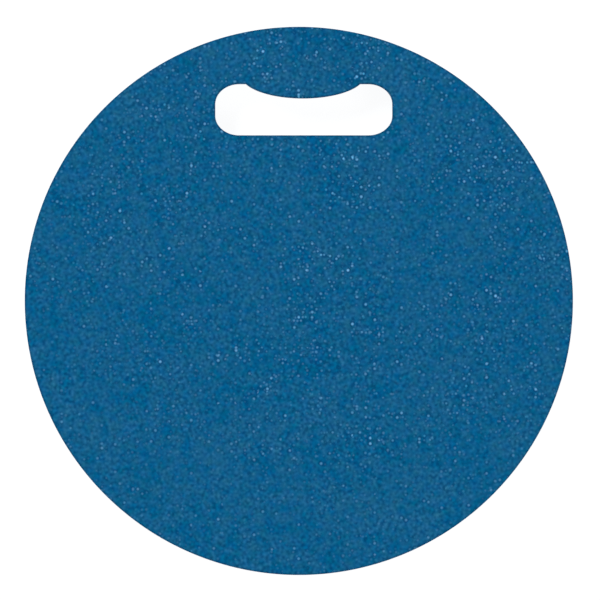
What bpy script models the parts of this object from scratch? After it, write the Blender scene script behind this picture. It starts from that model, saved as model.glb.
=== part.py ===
"""Round kneeling pad: a firm closed-cell foam disc, die-cut with one hand slot near its rim.

The pad lies flat. The origin is the centre of its underside, +Z is up through its thickness and
+Y points from the centre of the disc towards the hand slot. Lengths are in metres.

Three plies of foam are stacked with a thin bond film between each pair. Every layer is cut by the
same die, so one outline serves them all.
"""

import math

import bmesh
import bpy

# Disc
DIAMETER = 0.3556  # 14 in
THICKNESS = 0.0254  # 1 in, over the whole stack
EDGE_ROUND = 0.0008  # the die rounds the two outer faces where it enters and leaves

# Layers, from each outer face inwards
BOND_DEPTH = 0.00635  # from an outer face to the middle of its bond film, 1/4 in
FILM_THICKNESS = 0.0004
LAYER_GAP = 0.0003  # between a film and the foam on either side of it

# Hand slot: a rounded oblong, whose outer long edge bulges inwards as a grip for the fingers
SLOT_CENTRE = (0.0032, 0.1241)
SLOT_LENGTH = 0.1150
SLOT_HEIGHT = 0.0334
SLOT_CORNER = (0.0156, 0.0130)  # semi-axes of each corner's quarter ellipse
GRIP_CENTRE = (0.0027, 0.1466)
GRIP_SEMI_AXES = (0.0402, 0.0151)

# Facets
DISC_STEPS = 144
CORNER_STEPS = 8
GRIP_STEPS = 20
ROUND_SEGMENTS = 2
CRISP_ANGLE = math.radians(45.0)  # an edge that bends more than this is a cut edge of the sheet
SMOOTH_ANGLE = math.radians(30.0)
WELD_DISTANCE = 0.00001

# Materials
FOAM_ROUGHNESS = 0.75
FILM_ROUGHNESS = 0.45
FACE_BLUE = (0.0065, 0.107, 0.246, 1.0)
CORE_BLUE = (0.0085, 0.125, 0.275, 1.0)
FILM_BLUE = (0.0040, 0.070, 0.170, 1.0)


def arc(centre, semi_axes, start, end, steps):
    """Points along an ellipse from one angle to another, in degrees, both ends included."""
    points = []
    for step in range(steps + 1):
        angle = math.radians(start + (end - start) * step / steps)
        x = centre[0] + semi_axes[0] * math.cos(angle)
        y = centre[1] + semi_axes[1] * math.sin(angle)
        points.append((x, y))
    return points


def disc_outline():
    """The rim, as a ring of points whose last point doesn't repeat the first."""
    radius = DIAMETER / 2
    return arc((0.0, 0.0), (radius, radius), 0.0, 360.0, DISC_STEPS)[:-1]


def slot_outline():
    """The hand slot, anticlockwise from its lower left corner."""
    left = SLOT_CENTRE[0] - SLOT_LENGTH / 2 + SLOT_CORNER[0]
    right = SLOT_CENTRE[0] + SLOT_LENGTH / 2 - SLOT_CORNER[0]
    bottom = SLOT_CENTRE[1] - SLOT_HEIGHT / 2 + SLOT_CORNER[1]
    top = SLOT_CENTRE[1] + SLOT_HEIGHT / 2 - SLOT_CORNER[1]
    top_edge = top + SLOT_CORNER[1]
    grip_angle = math.degrees(math.asin((GRIP_CENTRE[1] - top_edge) / GRIP_SEMI_AXES[1]))
    return (
        arc((left, bottom), SLOT_CORNER, 180.0, 270.0, CORNER_STEPS)
        + arc((right, bottom), SLOT_CORNER, 270.0, 360.0, CORNER_STEPS)
        + arc((right, top), SLOT_CORNER, 0.0, 90.0, CORNER_STEPS)
        + arc(GRIP_CENTRE, GRIP_SEMI_AXES, 360.0 - grip_angle, 180.0 + grip_angle, GRIP_STEPS)
        + arc((left, top), SLOT_CORNER, 90.0, 180.0, CORNER_STEPS)
    )


def plain_material(name, colour, roughness):
    material = bpy.data.materials.new(name)
    material.use_nodes = True
    shader = material.node_tree.nodes["Principled BSDF"]
    shader.inputs["Base Color"].default_value = colour
    shader.inputs["Roughness"].default_value = roughness
    shader.inputs["Metallic"].default_value = 0.0
    return material


def add_ring(curve, points):
    """Adds one closed ring of straight runs to a 2D curve."""
    spline = curve.splines.new("POLY")
    spline.points.add(len(points) - 1)
    for point, (x, y) in zip(spline.points, points):
        point.co = (x, y, 0.0, 1.0)
    spline.use_cyclic_u = True


def stamped_sheet(name, bottom, thickness):
    """A sheet cut to the pad's outline, with its underside at the height given."""
    curve = bpy.data.curves.new(name + "_outline", "CURVE")
    curve.dimensions = "2D"
    curve.fill_mode = "BOTH"
    curve.extrude = thickness / 2
    add_ring(curve, disc_outline())
    add_ring(curve, slot_outline())
    outline = bpy.data.objects.new(name + "_outline", curve)
    outline.location = (0.0, 0.0, bottom + thickness / 2)
    bpy.context.scene.collection.objects.link(outline)
    bpy.context.view_layer.update()

    evaluated = outline.evaluated_get(bpy.context.evaluated_depsgraph_get())
    mesh = bpy.data.meshes.new_from_object(evaluated)
    mesh.name = name
    solid = bmesh.new()
    solid.from_mesh(mesh)
    bmesh.ops.remove_doubles(solid, verts=solid.verts, dist=WELD_DISTANCE)
    bmesh.ops.recalc_face_normals(solid, faces=solid.faces)
    solid.to_mesh(mesh)
    solid.free()

    sheet = bpy.data.objects.new(name, mesh)
    sheet.matrix_world = outline.matrix_world
    bpy.data.objects.remove(outline)
    return sheet


def round_face_edge(sheet, side):
    """Rounds the cut edges of a sheet's upper face (side 1) or its lower face (side -1)."""
    solid = bmesh.new()
    solid.from_mesh(sheet.data)
    edges = [
        edge
        for edge in solid.edges
        if edge.calc_face_angle() > CRISP_ANGLE and all(vert.co.z * side > 0.0 for vert in edge.verts)
    ]
    bmesh.ops.bevel(
        solid,
        geom=edges,
        offset=EDGE_ROUND,
        segments=ROUND_SEGMENTS,
        profile=0.5,
        affect="EDGES",
    )
    solid.to_mesh(sheet.data)
    solid.free()


def build_pad():
    for old in list(bpy.data.objects):
        bpy.data.objects.remove(old)
    collection = bpy.data.collections.new("kneeling_pad")
    bpy.context.scene.collection.children.link(collection)

    face_foam = plain_material("face_foam", FACE_BLUE, FOAM_ROUGHNESS)
    core_foam = plain_material("core_foam", CORE_BLUE, FOAM_ROUGHNESS)
    bond_film = plain_material("bond_film", FILM_BLUE, FILM_ROUGHNESS)

    joint = FILM_THICKNESS + 2 * LAYER_GAP
    face_ply = BOND_DEPTH - joint / 2
    core_bottom = face_ply + joint
    core_top = THICKNESS - core_bottom
    layers = (
        # name, underside, thickness, material, side with a rounded edge
        ("bottom_ply", 0.0, face_ply, face_foam, -1),
        ("lower_bond_film", face_ply + LAYER_GAP, FILM_THICKNESS, bond_film, 0),
        ("core_ply", core_bottom, core_top - core_bottom, core_foam, 0),
        ("upper_bond_film", core_top + LAYER_GAP, FILM_THICKNESS, bond_film, 0),
        ("top_ply", THICKNESS - face_ply, face_ply, face_foam, 1),
    )
    for name, bottom, thickness, material, rounded_side in layers:
        sheet = stamped_sheet(name, bottom, thickness)
        if rounded_side:
            round_face_edge(sheet, rounded_side)
        sheet.data.materials.clear()
        sheet.data.materials.append(material)
        sheet.data.shade_smooth()
        sheet.data.set_sharp_from_angle(angle=SMOOTH_ANGLE)
        collection.objects.link(sheet)


build_pad()
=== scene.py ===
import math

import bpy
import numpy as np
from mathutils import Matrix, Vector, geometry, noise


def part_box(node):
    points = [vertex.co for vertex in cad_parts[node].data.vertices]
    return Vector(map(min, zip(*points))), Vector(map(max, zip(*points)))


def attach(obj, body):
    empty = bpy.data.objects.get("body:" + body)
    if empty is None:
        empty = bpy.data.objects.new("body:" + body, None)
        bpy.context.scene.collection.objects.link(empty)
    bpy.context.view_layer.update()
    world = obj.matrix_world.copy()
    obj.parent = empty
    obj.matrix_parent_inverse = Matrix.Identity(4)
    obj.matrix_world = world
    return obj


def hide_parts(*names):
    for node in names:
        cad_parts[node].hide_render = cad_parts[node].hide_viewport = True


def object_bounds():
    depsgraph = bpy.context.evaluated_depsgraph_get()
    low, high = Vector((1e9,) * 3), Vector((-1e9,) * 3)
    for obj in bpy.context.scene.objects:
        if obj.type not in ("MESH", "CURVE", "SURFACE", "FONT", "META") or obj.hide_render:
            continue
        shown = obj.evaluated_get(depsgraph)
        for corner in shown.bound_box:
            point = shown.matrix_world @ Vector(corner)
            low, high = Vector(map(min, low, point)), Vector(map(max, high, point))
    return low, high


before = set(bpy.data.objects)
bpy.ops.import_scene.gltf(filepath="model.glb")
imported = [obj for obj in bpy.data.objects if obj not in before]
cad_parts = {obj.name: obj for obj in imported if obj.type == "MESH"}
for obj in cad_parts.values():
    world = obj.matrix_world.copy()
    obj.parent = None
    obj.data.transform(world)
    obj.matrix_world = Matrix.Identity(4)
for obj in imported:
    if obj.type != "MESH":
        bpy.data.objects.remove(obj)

# The look of the round foam kneeling pad. Three foam plies and the two bond films between them
# replace the plain CAD layers: skinned faces with a soft relief, die-cut walls with open cells,
# and a procedural blue foam. Lengths are in metres.

MM = 0.001

cad_low, cad_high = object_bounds()

# The hand slot's curves. Its box comes from the CAD: the core's points inside this share of its radius.
SLOT_WITHIN = 0.95
SLOT_CORNER = (15.6 * MM, 13.0 * MM)
GRIP_CENTRE = (2.7 * MM, 146.6 * MM)
GRIP_SEMI_AXES = (40.2 * MM, 15.1 * MM)

# Mesh spacing
FACE_PITCH = 1.2 * MM
FACE_JITTER = 0.22  # share of the pitch
RING_CLEARANCE = 0.6  # share of the pitch that the grid keeps from the rings
WELD = 1e-9
HIDDEN_PITCH = 12.0 * MM
WALL_PITCH = 0.95 * MM
RIM_STEPS = 1080
LONG_EDGE_STEPS = 80
END_STEPS = 7
SHOULDER_STEPS = 5
CORNER_STEPS = 22
GRIP_STEPS = 80
ROUND_STEPS = 5

# The cut edge. The walls are moved out by the swell, because a renderer's blur eats into an edge. The hollow
# takes it back where the outline is widest, so the pad still ends at the CAD's rim.
EDGE_ROUND = 1.1 * MM
EDGE_SWELL = 0.10 * MM
SCUFF_DEPTH = 3.2 * MM
BOND_ROUND = 0.50 * MM
WALL_HOLLOW = 0.60 * MM
DRAG = 0.12 * MM
DRAG_SIZE = 26.0 * MM
CUT_GRAIN = 0.16 * MM
CUT_GRAIN_SIZE = 2.3 * MM
DRAG_SHIFT = 5.3
CUT_GRAIN_SHIFT = 11.9
CLEAN_EDGE = 2.0 * MM  # depth over which the wall's roughness grows from nothing

# The faces
EDGE_SINK = 0.40 * MM
EDGE_SINK_REACH = 5.0 * MM
SINK_ENDS = 6  # reaches from the edge at which the sink is as good as nothing
UNDERSIDE_SHIFT = 31.7  # so that the two faces don't have the same relief
RELIEF = (  # depth and size of each kind of hollow
    (0.35 * MM, 95.0 * MM),
    (0.16 * MM, 21.0 * MM),
    (0.07 * MM, 3.6 * MM),
)

# The bond films
FILM_GAP = 0.05 * MM
FILM_RECESS = 0.35 * MM
FILM_ROUND = 0.08 * MM

# The foam's noises: the size of their features, and a shift so that no two line up. The weave is two noises
# turned off the axes, since one alone shows its square lattice.
WEAVE = {"size": 2.25 * MM, "flat_turn": 22.0}
CROSS_WEAVE = {"size": 2.25 * MM, "flat_turn": 67.0, "shift": (0.5, 0.2, 0.0)}
BUSY = {"size": 24.0 * MM, "detail": 1.0, "shift": (0.83, 0.35, 0.09)}
FINE = {"size": 1.82 * MM}
COARSE = {"size": 3.6 * MM, "shift": (0.37, 0.11, 0.71)}
FINEST = {"size": 0.60 * MM, "detail": 2.0}
PATCH = {"size": 42.0 * MM, "detail": 1.0, "shift": (0.05, 0.83, 0.29)}
CLUSTER = {"size": 11.0 * MM, "shift": (0.77, 0.19, 0.43)}
BROAD_HUE = {"size": 36.0 * MM, "detail": 2.0, "roughness": 1.0, "shift": (0.29, 0.57, 0.67)}
SMALL_HUE = {"size": 6.5 * MM, "detail": 1.0, "roughness": 0.6, "shift": (0.61, 0.47, 0.13)}
BLUENESS = {"size": 5.5 * MM, "detail": 1.0, "shift": (0.23, 0.91, 0.57)}
KNIFE = {"size": 1.6 * MM, "detail": 1.0, "stretch": (1.0, 1.0, 0.10)}
SCUFF = {"size": 8.0 * MM, "detail": 3.0, "roughness": 0.7}

# The foam's tone runs along these colours.
FACE_STOPS = (
    (0.00, (0.0019, 0.070, 0.181)),
    (0.10, (0.0047, 0.107, 0.245)),
    (0.22, (0.0110, 0.150, 0.314)),
    (0.48, (0.0400, 0.243, 0.450)),
    (1.00, (0.1900, 0.450, 0.730)),
)
BASE_TONE = 0.101
FACE_GRAIN_TONE = 0.166  # how far the grain moves the tone either way
CUT_GRAIN_TONE = 0.112
BUSY_RANGE = (0.78, 1.24)  # how much the face's grain is weakened or strengthened from area to area
FACE_FROM, WALL_FROM = 0.80, 0.35  # upright share of the normal above which it's a face, below which a wall

# Casts, multiplied with the colour
TEAL, MAUVE = (0.02, 0.950, 0.990, 1.0), (1.98, 1.050, 1.010, 1.0)
LESS_BLUE, MORE_BLUE = (1.05, 1.020, 0.91, 1.0), (0.95, 0.980, 1.09, 1.0)

# Dots: bright flecks and fainter, commoner dots, painted into the colour as glints. Each sits in a cell of
# the size given, and the higher the rarity, the fewer are strong. The light is how far these painted glints
# lighten the foam, and the painted shadow is in their ring.
FLECK = {"size": 2.9 * MM, "channel": "Red", "rarity": 7.6}
FLECK_GLINT, FLECK_RING_SHADOW = 0.56, 0.11
DOT = {"size": 2.5 * MM, "channel": "Green", "rarity": 2.1}
DOT_GLINT, DOT_RING_SHADOW = 0.24, 0.045
CORE_FADE = (0.10, 0.46)  # shares of a cell between which a dot fades out
RING_SHADOW_FADE = (0.50, 0.92)  # and between which the shade around it does
# Colours of the painted glints.
COOL_GLINT, WARM_GLINT = (0.080, 0.500, 0.845, 1.0), (0.228, 0.490, 0.822, 1.0)

# Where the dots are strong. They are strongest around one point towards the upper right.
PATCH_RANGE = (0.42, 1.58)
CLUSTER_RANGE = (0.56, 1.42)
DENSE_POINT = (60.0 * MM, 85.0 * MM, cad_high.z)
DENSE_REACH = 240.0 * MM
DENSE_RANGE = (1.56, 0.48)
WALL_DOTS = 0.15  # share of a dot's strength that is left on a cut wall
FLECK_CROWDING = 0.50  # how far the flecks follow the other dots

# A dark line is painted along each face's cut edge: darkest nearer than the first of these distances, gone
# past the second.
DARK_EDGE_REACH = (0.4 * MM, 1.5 * MM)
DARK_EDGE_SHADE = 0.69

# The cut walls: open cells, pores and knife marks, their hollows painted darker as painted shade and the cell
# rims lighter. Fades are shares of a cell.
CELL_SIZE, CELL_FADE, CELL_SHADE = 1.3 * MM, (0.10, 0.65), (0.72, 1.22)
PORE_SIZE, PORE_FADE, PORE_SHADE = 4.2 * MM, (0.08, 0.28), 0.45
PORE_CHANCE = (0.55, 0.75)
PORE_HEIGHT = -2.0  # against a cell's 1
KNIFE_SHADE = (0.86, 1.14)
FACE_FOAM_CUT_TONE = 0.94
CORE_FOAM_CUT_TONE = 1.16

# Scuffed corners
SCUFF_SPREAD = (0.46, 0.62)
SCUFF_TURN = (0.70, 0.95)  # upright share of the normal over which a scuff ends
SCUFF_STRENGTH = 0.70
SCUFF_COLOUR = (0.080, 0.235, 0.405, 1.0)

# Gloss and bumps
SKIN_ROUGHNESS = (0.60, 0.74)
CUT_ROUGHNESS = 0.85
FOAM_GLOSS = 0.015
FINE_BUMP, COARSE_BUMP, FINEST_BUMP, CUT_BUMP = 0.05 * MM, 0.06 * MM, 0.05 * MM, 0.38 * MM
MELT = {"size": 2.4 * MM, "detail": 2.0}
MELT_STOPS = ((0.3, (0.0005, 0.028, 0.085)), (0.7, (0.0015, 0.055, 0.150)))
MELT_ROUGHNESS = (0.42, 0.60)
MELT_GLOSS = 0.03
MELT_BUMP = 0.05 * MM

# Floor and lights, in metres and watts
WHITE = (1.0, 1.0, 1.0, 1.0)
FLOOR_SIDES = 96
FLOOR_RADIUS = 12.0
FLOOR_GREY = (0.17, 0.17, 0.17, 1.0)
FLOOR_ROUGHNESS = 0.9
FLOOR_GLOW = 0.935
WORLD_LIGHT = 0.405
LIGHTS = (  # name, position, size and power
    ("key", (-2.7, 2.9, 4.0), 1.9, 180.0),
    ("fill", (3.4, -2.4, 3.5), 2.6, 107.0),
)

# Camera
VIEW_SPAN = 389.1 * MM
VIEW_CENTRE = (0.75 * MM, 0.58 * MM)
LENS_MM = 1000.0
SENSOR_MM = 36.0

SEED = 7


def arc(centre, semi_axes, start, end, steps):
    """Points along an ellipse from one angle to another, in degrees, both ends included."""
    angles = np.radians(np.linspace(start, end, steps + 1))
    x = centre[0] + semi_axes[0] * np.cos(angles)
    y = centre[1] + semi_axes[1] * np.sin(angles)
    return np.column_stack((x, y))


def rim_ring(inset):
    """The pad's rim, moved into the foam by inset."""
    radius = (cad_high.x - cad_low.x) / 2 - inset
    return arc((0.0, 0.0), (radius, radius), 0.0, 360.0, RIM_STEPS)[:-1]


def slot_box():
    """Lowest and highest corners of the hand slot, from the inner ring of a CAD layer."""
    points = np.array([vertex.co[:2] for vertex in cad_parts["core_ply"].data.vertices])
    from_centre = np.hypot(points[:, 0], points[:, 1])
    inner = points[from_centre < SLOT_WITHIN * from_centre.max()]
    return inner.min(axis=0), inner.max(axis=0)


slot_low, slot_high = slot_box()


def slot_ring(inset):
    """The hand slot's edge, anticlockwise from its lower left corner, moved into the foam by inset."""
    corner = (SLOT_CORNER[0] + inset, SLOT_CORNER[1] + inset)
    left, bottom = slot_low + SLOT_CORNER
    right, top = slot_high - SLOT_CORNER
    grip = (GRIP_SEMI_AXES[0] - inset, GRIP_SEMI_AXES[1] - inset)
    grip_angle = math.degrees(math.asin((GRIP_CENTRE[1] - top - corner[1]) / grip[1]))
    curves = (
        arc((left, bottom), corner, 180.0, 270.0, CORNER_STEPS),
        arc((right, bottom), corner, 270.0, 360.0, CORNER_STEPS),
        arc((right, top), corner, 0.0, 90.0, CORNER_STEPS),
        arc(GRIP_CENTRE, grip, 360.0 - grip_angle, 180.0 + grip_angle, GRIP_STEPS),
        arc((left, top), corner, 90.0, 180.0, CORNER_STEPS),
    )
    straights = (LONG_EDGE_STEPS, END_STEPS, SHOULDER_STEPS, SHOULDER_STEPS, END_STEPS)
    ring = []
    for index, (curve, steps) in enumerate(zip(curves, straights)):
        following = curves[(index + 1) % len(curves)]
        share = np.linspace(0.0, 1.0, steps + 1)[1:-1, None]
        ring.append(curve)
        ring.append(curve[-1] + (following[0] - curve[-1]) * share)
    return np.concatenate(ring)


def rings(inset):
    """Rim and slot as one list of points, the rim first."""
    return np.concatenate((rim_ring(inset), slot_ring(inset)))


RIM_COUNT = len(rim_ring(0.0))
SLOT_COUNT = len(slot_ring(0.0))
into_foam = rings(MM) - rings(0.0)
into_foam /= np.linalg.norm(into_foam, axis=1)[:, None]


def inside_slot(points, ring):
    """True for each point that lies inside the slot's ring."""
    x, y = points[:, 0], points[:, 1]
    inside = np.zeros(len(points), bool)
    for (x0, y0), (x1, y1) in zip(ring, np.roll(ring, -1, axis=0)):
        if y0 == y1:
            continue
        crossing = x0 + (y - y0) * (x1 - x0) / (y1 - y0)
        inside ^= ((y0 > y) != (y1 > y)) & (x < crossing)
    return inside


def edge_distance(points):
    """How far each point is from the nearest cut edge, exact only within reach of the edge sink."""
    rim = (cad_high.x - cad_low.x) / 2
    distance = rim - np.hypot(points[:, 0], points[:, 1])
    reach = SINK_ENDS * EDGE_SINK_REACH
    near = np.all((points > slot_low - reach) & (points < slot_high + reach), axis=1)
    to_slot = points[near][:, None, :] - slot_ring(0.0)[None, :, :]
    distance[near] = np.minimum(distance[near], np.linalg.norm(to_slot, axis=2).min(axis=1))
    return distance


def noise_at(points, size, shift=0.0):
    """Smooth noise from about -1 to 1, with features of the size given."""
    return np.array([noise.noise(Vector(point) / size + Vector((shift, shift, shift))) for point in points])


def sink_at(points, shift):
    """How far a face lies below its highest plane at each point."""
    flat = np.column_stack((points, np.zeros(len(points))))
    sink = EDGE_SINK * np.exp(-edge_distance(points) / EDGE_SINK_REACH)
    for depth, size in RELIEF:
        sink += depth * np.clip(0.5 + 0.5 * noise_at(flat, size, shift), 0.0, 1.0)
    return sink


def face_mesh(inset, pitch, rng):
    """Points and triangles of a face: the rings at inset, then a jittered grid between them."""
    outline = rings(inset)
    rim = (cad_high.x - cad_low.x) / 2
    row_gap = pitch * math.sqrt(0.75)
    grid = []
    for row, y in enumerate(np.arange(-rim, rim, row_gap)):
        x = np.arange(-rim, rim, pitch) + (row % 2) * pitch / 2
        grid.append(np.column_stack((x, np.full(len(x), y))))
    grid = np.concatenate(grid)
    grid += rng.uniform(-1.0, 1.0, grid.shape) * FACE_JITTER * pitch
    spacing = min(pitch, FACE_PITCH)
    grid = grid[np.hypot(grid[:, 0], grid[:, 1]) < rim - inset - RING_CLEARANCE * spacing]
    grid = grid[~inside_slot(grid, slot_ring(inset + RING_CLEARANCE * spacing))]
    points = np.concatenate((outline, grid))
    edges = [(i, (i + 1) % RIM_COUNT) for i in range(RIM_COUNT)]
    edges += [(RIM_COUNT + i, RIM_COUNT + (i + 1) % SLOT_COUNT) for i in range(SLOT_COUNT)]
    triangles = geometry.delaunay_2d_cdt(points.tolist(), edges, [], 0, WELD, False)[2]
    triangles = np.array(triangles)
    middles = points[triangles].mean(axis=1)
    triangles = triangles[~inside_slot(middles, slot_ring(inset))]
    return points, triangles


def wall_rows(low, high, round_low, round_high):
    """Inset and height of each row of a cut wall, from the upper face down to the lower one."""
    rows = []
    for step in range(ROUND_STEPS + 1):
        angle = math.pi / 2 * step / ROUND_STEPS
        rows.append((round_high * (1 - math.sin(angle)), high - round_high * (1 - math.cos(angle))))
    wall_top, wall_bottom = high - round_high, low + round_low
    steps = max(1, round((wall_top - wall_bottom) / WALL_PITCH))
    for step in range(1, steps):
        rows.append((0.0, wall_top + (wall_bottom - wall_top) * step / steps))
    for step in range(ROUND_STEPS, -1, -1):
        angle = math.pi / 2 * step / ROUND_STEPS
        rows.append((round_low * (1 - math.sin(angle)), low + round_low * (1 - math.cos(angle))))
    return rows


def wall_hollow(height):
    """How far the cut wall is drawn in at a height: most at mid-thickness, below nothing at the faces."""
    middle = (cad_low.z + cad_high.z) / 2
    half = (cad_high.z - cad_low.z) / 2
    return WALL_HOLLOW * (1 - ((height - middle) / half) ** 2) - EDGE_SWELL


def roughness_share(height):
    """How much of its roughness the cut wall has at a height: none at the pad's two faces."""
    depth = min(height - cad_low.z, cad_high.z - height) - EDGE_ROUND
    return min(max(depth / CLEAN_EDGE, 0.0), 1.0)


def layer(name, low, high, round_low, round_high, recess=0.0):
    """One closed layer of the pad. A face is shown, and gets its relief, if it is on the pad's outside."""
    rng = np.random.default_rng(SEED)
    top_shown = abs(high - cad_high.z) < MM / 10
    bottom_shown = abs(low - cad_low.z) < MM / 10
    rows = wall_rows(low, high, round_low, round_high)

    first_inset = rows[0][0] + wall_hollow(high) + recess
    last_inset = rows[-1][0] + wall_hollow(low) + recess
    top, top_faces = face_mesh(first_inset, FACE_PITCH if top_shown else HIDDEN_PITCH, rng)
    bottom, bottom_faces = face_mesh(last_inset, FACE_PITCH if bottom_shown else HIDDEN_PITCH, rng)
    top_sink = sink_at(top, 0.0) if top_shown else np.zeros(len(top))
    bottom_sink = sink_at(bottom, UNDERSIDE_SHIFT) if bottom_shown else np.zeros(len(bottom))

    ring_count = RIM_COUNT + SLOT_COUNT
    points = [np.column_stack((top, high - top_sink))]
    from_edge = [edge_distance(top)]
    starts = [0]
    for inset, height in rows[1:-1]:
        share = (height - low) / (high - low)
        ring = rings(inset + wall_hollow(height) + recess)
        z = height - top_sink[:ring_count] * share + bottom_sink[:ring_count] * (1 - share)
        at = np.column_stack((ring, z))
        push = (DRAG * noise_at(at, DRAG_SIZE, DRAG_SHIFT)
                + CUT_GRAIN * noise_at(at, CUT_GRAIN_SIZE, CUT_GRAIN_SHIFT))
        at[:, :2] += into_foam * (np.abs(push) * roughness_share(height))[:, None]
        starts.append(sum(len(p) for p in points))
        points.append(at)
        from_edge.append(np.full(ring_count, inset))
    starts.append(sum(len(p) for p in points))
    points.append(np.column_stack((bottom, low + bottom_sink)))
    from_edge.append(edge_distance(bottom))

    faces = top_faces.tolist()
    for upper, lower in zip(starts, starts[1:]):
        for i in range(RIM_COUNT):
            j = (i + 1) % RIM_COUNT
            faces.append((lower + i, lower + j, upper + j, upper + i))
        for i in range(RIM_COUNT, ring_count):
            j = RIM_COUNT + (i + 1 - RIM_COUNT) % SLOT_COUNT
            faces.append((upper + i, upper + j, lower + j, lower + i))
    faces += (bottom_faces[:, ::-1] + starts[-1]).tolist()

    mesh = bpy.data.meshes.new(name)
    mesh.from_pydata(np.concatenate(points).tolist(), [], faces)
    mesh.attributes.new("from_edge", "FLOAT", "POINT").data.foreach_set("value", np.concatenate(from_edge))
    mesh.shade_smooth()
    piece = bpy.data.objects.new(name, mesh)
    bpy.context.scene.collection.objects.link(piece)
    return piece


class Recipe:
    """A material's node tree, with short ways to add the nodes it is made of."""

    def __init__(self, name):
        self.material = bpy.data.materials.new(name)
        self.material.use_nodes = True
        self.tree = self.material.node_tree
        self.shader = self.tree.nodes["Principled BSDF"]
        self.place = self.tree.nodes.new("ShaderNodeTexCoord").outputs["Object"]
        self.normal = self.tree.nodes.new("ShaderNodeNewGeometry").outputs["Normal"]

    def feed(self, socket, value):
        if isinstance(value, bpy.types.NodeSocket):
            self.tree.links.new(value, socket)
        else:
            socket.default_value = value

    def attribute(self, name):
        node = self.tree.nodes.new("ShaderNodeAttribute")
        node.attribute_name = name
        return node.outputs["Fac"]

    def split(self, vector, axis):
        node = self.tree.nodes.new("ShaderNodeSeparateXYZ")
        self.feed(node.inputs[0], vector)
        return node.outputs[axis]

    def split_colour(self, colour, channel):
        node = self.tree.nodes.new("ShaderNodeSeparateColor")
        self.feed(node.inputs[0], colour)
        return node.outputs[channel]

    def grey(self, value):
        node = self.tree.nodes.new("ShaderNodeCombineColor")
        for channel in ("Red", "Green", "Blue"):
            self.feed(node.inputs[channel], value)
        return node.outputs[0]

    def distance(self, place, centre):
        node = self.tree.nodes.new("ShaderNodeVectorMath")
        node.operation = "DISTANCE"
        self.feed(node.inputs[0], place)
        node.inputs[1].default_value = centre
        return node.outputs["Value"]

    def noise(self, size, detail=0.0, roughness=0.5, shift=(0.0, 0.0, 0.0), stretch=(1.0, 1.0, 1.0),
              flat_turn=None):
        """Noise with features of this size. With flat_turn, in degrees, it is the same at every height."""
        node = self.tree.nodes.new("ShaderNodeTexNoise")
        move = self.tree.nodes.new("ShaderNodeMapping")
        self.feed(move.inputs["Vector"], self.place)
        move.inputs["Location"].default_value = shift
        move.inputs["Scale"].default_value = stretch
        if flat_turn is not None:
            node.noise_dimensions = "2D"
            move.inputs["Rotation"].default_value = (0.0, 0.0, math.radians(flat_turn))
        self.feed(node.inputs["Vector"], move.outputs[0])
        node.inputs["Scale"].default_value = 1 / size
        node.inputs["Detail"].default_value = detail
        node.inputs["Roughness"].default_value = roughness
        return node.outputs["Fac"]

    def swing(self, noise, reach, low=0.0, high=1.0):
        """A noise whose middle part, reach to either side of a half, is stretched from low to high."""
        return self.spread(self.noise(**noise), 0.5 - reach, 0.5 + reach, low, high)

    def cells(self, size):
        node = self.tree.nodes.new("ShaderNodeTexVoronoi")
        self.feed(node.inputs["Vector"], self.place)
        node.inputs["Scale"].default_value = 1 / size
        return node

    def math(self, operation, first, second=0.0):
        node = self.tree.nodes.new("ShaderNodeMath")
        node.operation = operation
        self.feed(node.inputs[0], first)
        self.feed(node.inputs[1], second)
        return node.outputs[0]

    def chain(self, operation, values):
        result = values[0]
        for value in values[1:]:
            result = self.math(operation, result, value)
        return result

    def sum(self, *values):
        return self.chain("ADD", values)

    def product(self, *values):
        return self.chain("MULTIPLY", values)

    def flecks(self, size, channel, rarity):
        """Round light dots painted as glints, one in each cell and most of them faint, their ring of painted
        shadow and their warmth.
        """
        dots = self.cells(size)
        distance = dots.outputs["Distance"]
        core = self.spread(distance, *CORE_FADE, 1.0, 0.0, smooth=True)
        ring = self.spread(distance, *RING_SHADOW_FADE, -1.0, 0.0, smooth=True)
        strength = self.math("POWER", self.split_colour(dots.outputs["Color"], channel), rarity)
        warmth = self.split_colour(dots.outputs["Color"], "Blue")
        return self.product(core, strength), self.product(ring, strength), warmth

    def spread(self, value, low, high, to_low=0.0, to_high=1.0, smooth=False):
        node = self.tree.nodes.new("ShaderNodeMapRange")
        node.interpolation_type = "SMOOTHSTEP" if smooth else "LINEAR"
        self.feed(node.inputs["Value"], value)
        node.inputs["From Min"].default_value = low
        node.inputs["From Max"].default_value = high
        node.inputs["To Min"].default_value = to_low
        node.inputs["To Max"].default_value = to_high
        return node.outputs[0]

    def blend(self, share, first, second):
        """A number between two others."""
        node = self.tree.nodes.new("ShaderNodeMix")
        self.feed(node.inputs[0], share)
        self.feed(node.inputs[2], first)
        self.feed(node.inputs[3], second)
        return node.outputs[0]

    def tint(self, share, first, second, mode="MIX"):
        node = self.tree.nodes.new("ShaderNodeMix")
        node.data_type = "RGBA"
        node.blend_type = mode
        self.feed(node.inputs[0], share)
        self.feed(node.inputs[6], first)
        self.feed(node.inputs[7], second)
        return node.outputs[2]

    def cast(self, colour, by):
        """A colour multiplied by another."""
        return self.tint(1.0, colour, by, mode="MULTIPLY")

    def ramp(self, share, stops):
        node = self.tree.nodes.new("ShaderNodeValToRGB")
        elements = node.color_ramp.elements
        while len(elements) < len(stops):
            elements.new(0.5)
        for element, (position, colour) in zip(elements, stops):
            element.position = position
            element.color = (*colour, 1.0)
        self.feed(node.inputs[0], share)
        return node.outputs[0]

    def bump(self, height, depth, under=None):
        node = self.tree.nodes.new("ShaderNodeBump")
        node.inputs["Distance"].default_value = depth
        self.feed(node.inputs["Height"], height)
        if under is not None:
            self.feed(node.inputs["Normal"], under)
        return node.outputs[0]


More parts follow.
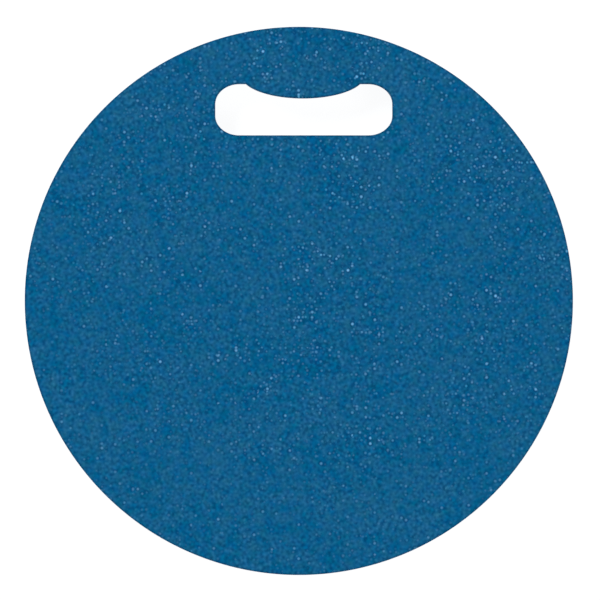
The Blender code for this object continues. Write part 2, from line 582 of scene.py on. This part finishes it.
def painted_glints_and_shadows(recipe, wall):
    """How far the dots, painted glints, lighten the foam, how far their rings of painted shadow darken it,
    and how warm the flecks are.
    """
    on_wall = recipe.spread(wall, 0.0, 1.0, 1.0, WALL_DOTS)
    from_dense = recipe.distance(recipe.place, DENSE_POINT)
    crowd = recipe.product(
        recipe.swing(PATCH, 0.15, *PATCH_RANGE),
        recipe.spread(from_dense, 0.0, DENSE_REACH, *DENSE_RANGE),
        recipe.swing(CLUSTER, 0.15, *CLUSTER_RANGE),
        on_wall,
    )
    few = recipe.blend(FLECK_CROWDING, on_wall, crowd)
    fleck, fleck_shadow, warmth = recipe.flecks(**FLECK)
    dot, dot_shadow, _ = recipe.flecks(**DOT)
    # The dots' light is painted glint, and the darkening in their rings is painted shadow.
    painted_glint = recipe.sum(recipe.product(fleck, few, FLECK_GLINT), recipe.product(dot, crowd, DOT_GLINT))
    ring = recipe.sum(recipe.product(fleck_shadow, few, FLECK_RING_SHADOW),
                      recipe.product(dot_shadow, crowd, DOT_RING_SHADOW))
    return painted_glint, ring, warmth


def face_colour(recipe, wall, fine):
    """The foam's blue: its grain, its drifts of hue, and its dots of painted glint with rings of painted
    shadow.
    """
    weave = recipe.sum(recipe.noise(**WEAVE), recipe.noise(**CROSS_WEAVE))
    face_grain = recipe.product(recipe.spread(weave, 0.0, 2.0, -FACE_GRAIN_TONE, FACE_GRAIN_TONE),
                                recipe.swing(BUSY, 0.20, *BUSY_RANGE))
    cut_grain = recipe.spread(fine, 0.0, 1.0, -CUT_GRAIN_TONE, CUT_GRAIN_TONE)
    painted_glint, ring, warmth = painted_glints_and_shadows(recipe, wall)
    tone = recipe.sum(recipe.blend(wall, face_grain, cut_grain), ring, BASE_TONE)
    colour = recipe.ramp(tone, FACE_STOPS)

    hue = recipe.sum(recipe.swing(BROAD_HUE, 0.25, -0.5, 0.5), recipe.swing(SMALL_HUE, 0.19))
    colour = recipe.cast(colour, recipe.tint(hue, TEAL, MAUVE))
    colour = recipe.cast(colour, recipe.tint(recipe.swing(BLUENESS, 0.25), LESS_BLUE, MORE_BLUE))
    # Painted glints: the dots lighten the colour towards a pale blue.
    return recipe.tint(painted_glint, colour, recipe.tint(warmth, COOL_GLINT, WARM_GLINT))


def cut_wall(recipe, cut_tone):
    """Shade and height of the cut walls: open cells, a few larger pores and the knife's upright marks, with
    painted shade in their hollows, times the ply's own tone.
    """
    cell = recipe.spread(recipe.cells(CELL_SIZE).outputs["Distance"], *CELL_FADE)
    pores = recipe.cells(PORE_SIZE)
    pore = recipe.product(
        recipe.spread(pores.outputs["Distance"], *PORE_FADE, 1.0, 0.0, smooth=True),
        recipe.spread(recipe.split_colour(pores.outputs["Color"], "Red"), *PORE_CHANCE),
    )
    knife = recipe.noise(**KNIFE)
    # Painted shade: the cells' middles, the pores and the knife marks' grooves are darkened where their
    # height is lowest.
    shade = recipe.product(
        recipe.spread(cell, 0.0, 1.0, *CELL_SHADE),
        recipe.spread(pore, 0.0, 1.0, 1.0, PORE_SHADE),
        recipe.spread(knife, 0.25, 0.75, *KNIFE_SHADE),
        cut_tone,
    )
    return shade, recipe.sum(cell, recipe.product(pore, PORE_HEIGHT), knife)


def scuffs(recipe, upright):
    """How far the corners between faces and walls are scuffed pale: only in places."""
    middle = (cad_low.z + cad_high.z) / 2
    face = cad_high.z - middle
    off_middle = recipe.math("ABSOLUTE", recipe.math("SUBTRACT", recipe.split(recipe.place, "Z"), middle))
    corner = recipe.product(
        recipe.spread(off_middle, face - SCUFF_DEPTH, face - EDGE_ROUND),
        recipe.spread(upright, *SCUFF_TURN, 1.0, 0.0, smooth=True),
    )
    scuff = recipe.spread(recipe.noise(**SCUFF), *SCUFF_SPREAD, smooth=True)
    return recipe.product(scuff, corner, SCUFF_STRENGTH)


def foam(name, cut_tone):
    """Closed-cell foam: skinned and speckled with painted glints on its flat faces, with a dark line painted
    along their cut edges, and with open cells and painted shade in their hollows on its cut walls.
    """
    recipe = Recipe(name)
    upright = recipe.math("ABSOLUTE", recipe.split(recipe.normal, "Z"))
    wall = recipe.spread(upright, WALL_FROM, FACE_FROM, 1.0, 0.0, smooth=True)
    fine, coarse = recipe.noise(**FINE), recipe.noise(**COARSE)

    colour = face_colour(recipe, wall, fine)
    # A dark line painted along the face's cut edge.
    dark_edge = recipe.spread(recipe.attribute("from_edge"), *DARK_EDGE_REACH, DARK_EDGE_SHADE, 1.0, smooth=True)
    # The cut walls' own tone with painted shade in their hollows.
    cut_tone_and_shade, cut_height = cut_wall(recipe, cut_tone)
    shade = recipe.product(recipe.blend(wall, dark_edge, 1.0), recipe.blend(wall, 1.0, cut_tone_and_shade))
    colour = recipe.cast(colour, recipe.grey(shade))
    colour = recipe.tint(scuffs(recipe, upright), colour, SCUFF_COLOUR)
    recipe.feed(recipe.shader.inputs["Base Color"], colour)

    rough = recipe.blend(wall, recipe.spread(coarse, 0.3, 0.7, *SKIN_ROUGHNESS), CUT_ROUGHNESS)
    recipe.feed(recipe.shader.inputs["Roughness"], rough)
    recipe.shader.inputs["Specular IOR Level"].default_value = FOAM_GLOSS

    skin = recipe.bump(fine, FINE_BUMP)
    skin = recipe.bump(coarse, COARSE_BUMP, under=skin)
    skin = recipe.bump(recipe.noise(**FINEST), FINEST_BUMP, under=skin)
    normal = recipe.bump(recipe.product(cut_height, wall), CUT_BUMP, under=skin)
    recipe.feed(recipe.shader.inputs["Normal"], normal)
    return recipe.material


def film():
    """The melted bond: darker and glossier than the foam, a little uneven in colour."""
    recipe = Recipe("bond_film_melt")
    streak = recipe.noise(**MELT)
    recipe.feed(recipe.shader.inputs["Base Color"], recipe.ramp(streak, MELT_STOPS))
    recipe.feed(recipe.shader.inputs["Roughness"], recipe.spread(streak, 0.3, 0.7, *MELT_ROUGHNESS))
    recipe.shader.inputs["Specular IOR Level"].default_value = MELT_GLOSS
    recipe.feed(recipe.shader.inputs["Normal"], recipe.bump(streak, MELT_BUMP))
    return recipe.material


def dress(piece, node, material):
    """Gives a piece its material and its body, and hides the CAD layer it stands for."""
    piece.data.materials.append(material)
    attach(piece, "root")
    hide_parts(node)


def build_pad():
    face_foam = foam("face_foam_blue", FACE_FOAM_CUT_TONE)
    core_foam = foam("core_foam_blue", CORE_FOAM_CUT_TONE)
    melt = film()

    bottom_film_low, bottom_film_high = (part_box("lower_bond_film")[i].z for i in (0, 1))
    top_film_low, top_film_high = (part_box("upper_bond_film")[i].z for i in (0, 1))
    bottom = layer("foam_bottom", cad_low.z, bottom_film_low - FILM_GAP, EDGE_ROUND, BOND_ROUND)
    core = layer("foam_core", bottom_film_high + FILM_GAP, top_film_low - FILM_GAP, BOND_ROUND, BOND_ROUND)
    top = layer("foam_top", top_film_high + FILM_GAP, cad_high.z, BOND_ROUND, EDGE_ROUND)
    lower = layer("film_lower", bottom_film_low, bottom_film_high, FILM_ROUND, FILM_ROUND, FILM_RECESS)
    upper = layer("film_upper", top_film_low, top_film_high, FILM_ROUND, FILM_ROUND, FILM_RECESS)

    dress(bottom, "bottom_ply", face_foam)
    dress(core, "core_ply", core_foam)
    dress(top, "top_ply", face_foam)
    dress(lower, "lower_bond_film", melt)
    dress(upper, "upper_bond_film", melt)


def build_stage():
    """A pale floor that glows a little, so that it stays white around the pad and in its slot."""
    bpy.ops.mesh.primitive_circle_add(vertices=FLOOR_SIDES, radius=FLOOR_RADIUS, fill_type="NGON",
                                      location=(0, 0, 0))
    floor = bpy.context.object
    floor.name = "floor"
    material = bpy.data.materials.new("pale_floor")
    material.use_nodes = True
    shader = material.node_tree.nodes["Principled BSDF"]
    shader.inputs["Base Color"].default_value = FLOOR_GREY
    shader.inputs["Roughness"].default_value = FLOOR_ROUGHNESS
    shader.inputs["Specular IOR Level"].default_value = 0.0
    shader.inputs["Emission Color"].default_value = WHITE
    shader.inputs["Emission Strength"].default_value = FLOOR_GLOW
    floor.data.materials.append(material)


def softbox(name, position, size, power):
    data = bpy.data.lights.new(name, "AREA")
    data.shape = "SQUARE"
    data.size = size
    data.energy = power
    light = bpy.data.objects.new(name, data)
    light.location = position
    light.rotation_euler = (-Vector(position)).to_track_quat("-Z", "Y").to_euler()
    bpy.context.scene.collection.objects.link(light)


def build_lights():
    world = bpy.data.worlds.new("studio")
    world.use_nodes = True
    background = world.node_tree.nodes["Background"]
    background.inputs["Color"].default_value = WHITE
    background.inputs["Strength"].default_value = WORLD_LIGHT
    bpy.context.scene.world = world
    for light in LIGHTS:
        softbox(*light)


def build_camera():
    data = bpy.data.cameras.new("camera")
    data.lens = LENS_MM
    data.sensor_width = SENSOR_MM
    distance = VIEW_SPAN * LENS_MM / SENSOR_MM
    data.clip_start = distance / 100
    data.clip_end = distance * 4
    camera = bpy.data.objects.new("camera", data)
    camera.location = (*VIEW_CENTRE, cad_high.z + distance)
    bpy.context.scene.collection.objects.link(camera)
    bpy.context.scene.camera = camera
    bpy.context.scene.view_settings.view_transform = "Standard"


build_pad()
build_stage()
build_lights()
build_camera()
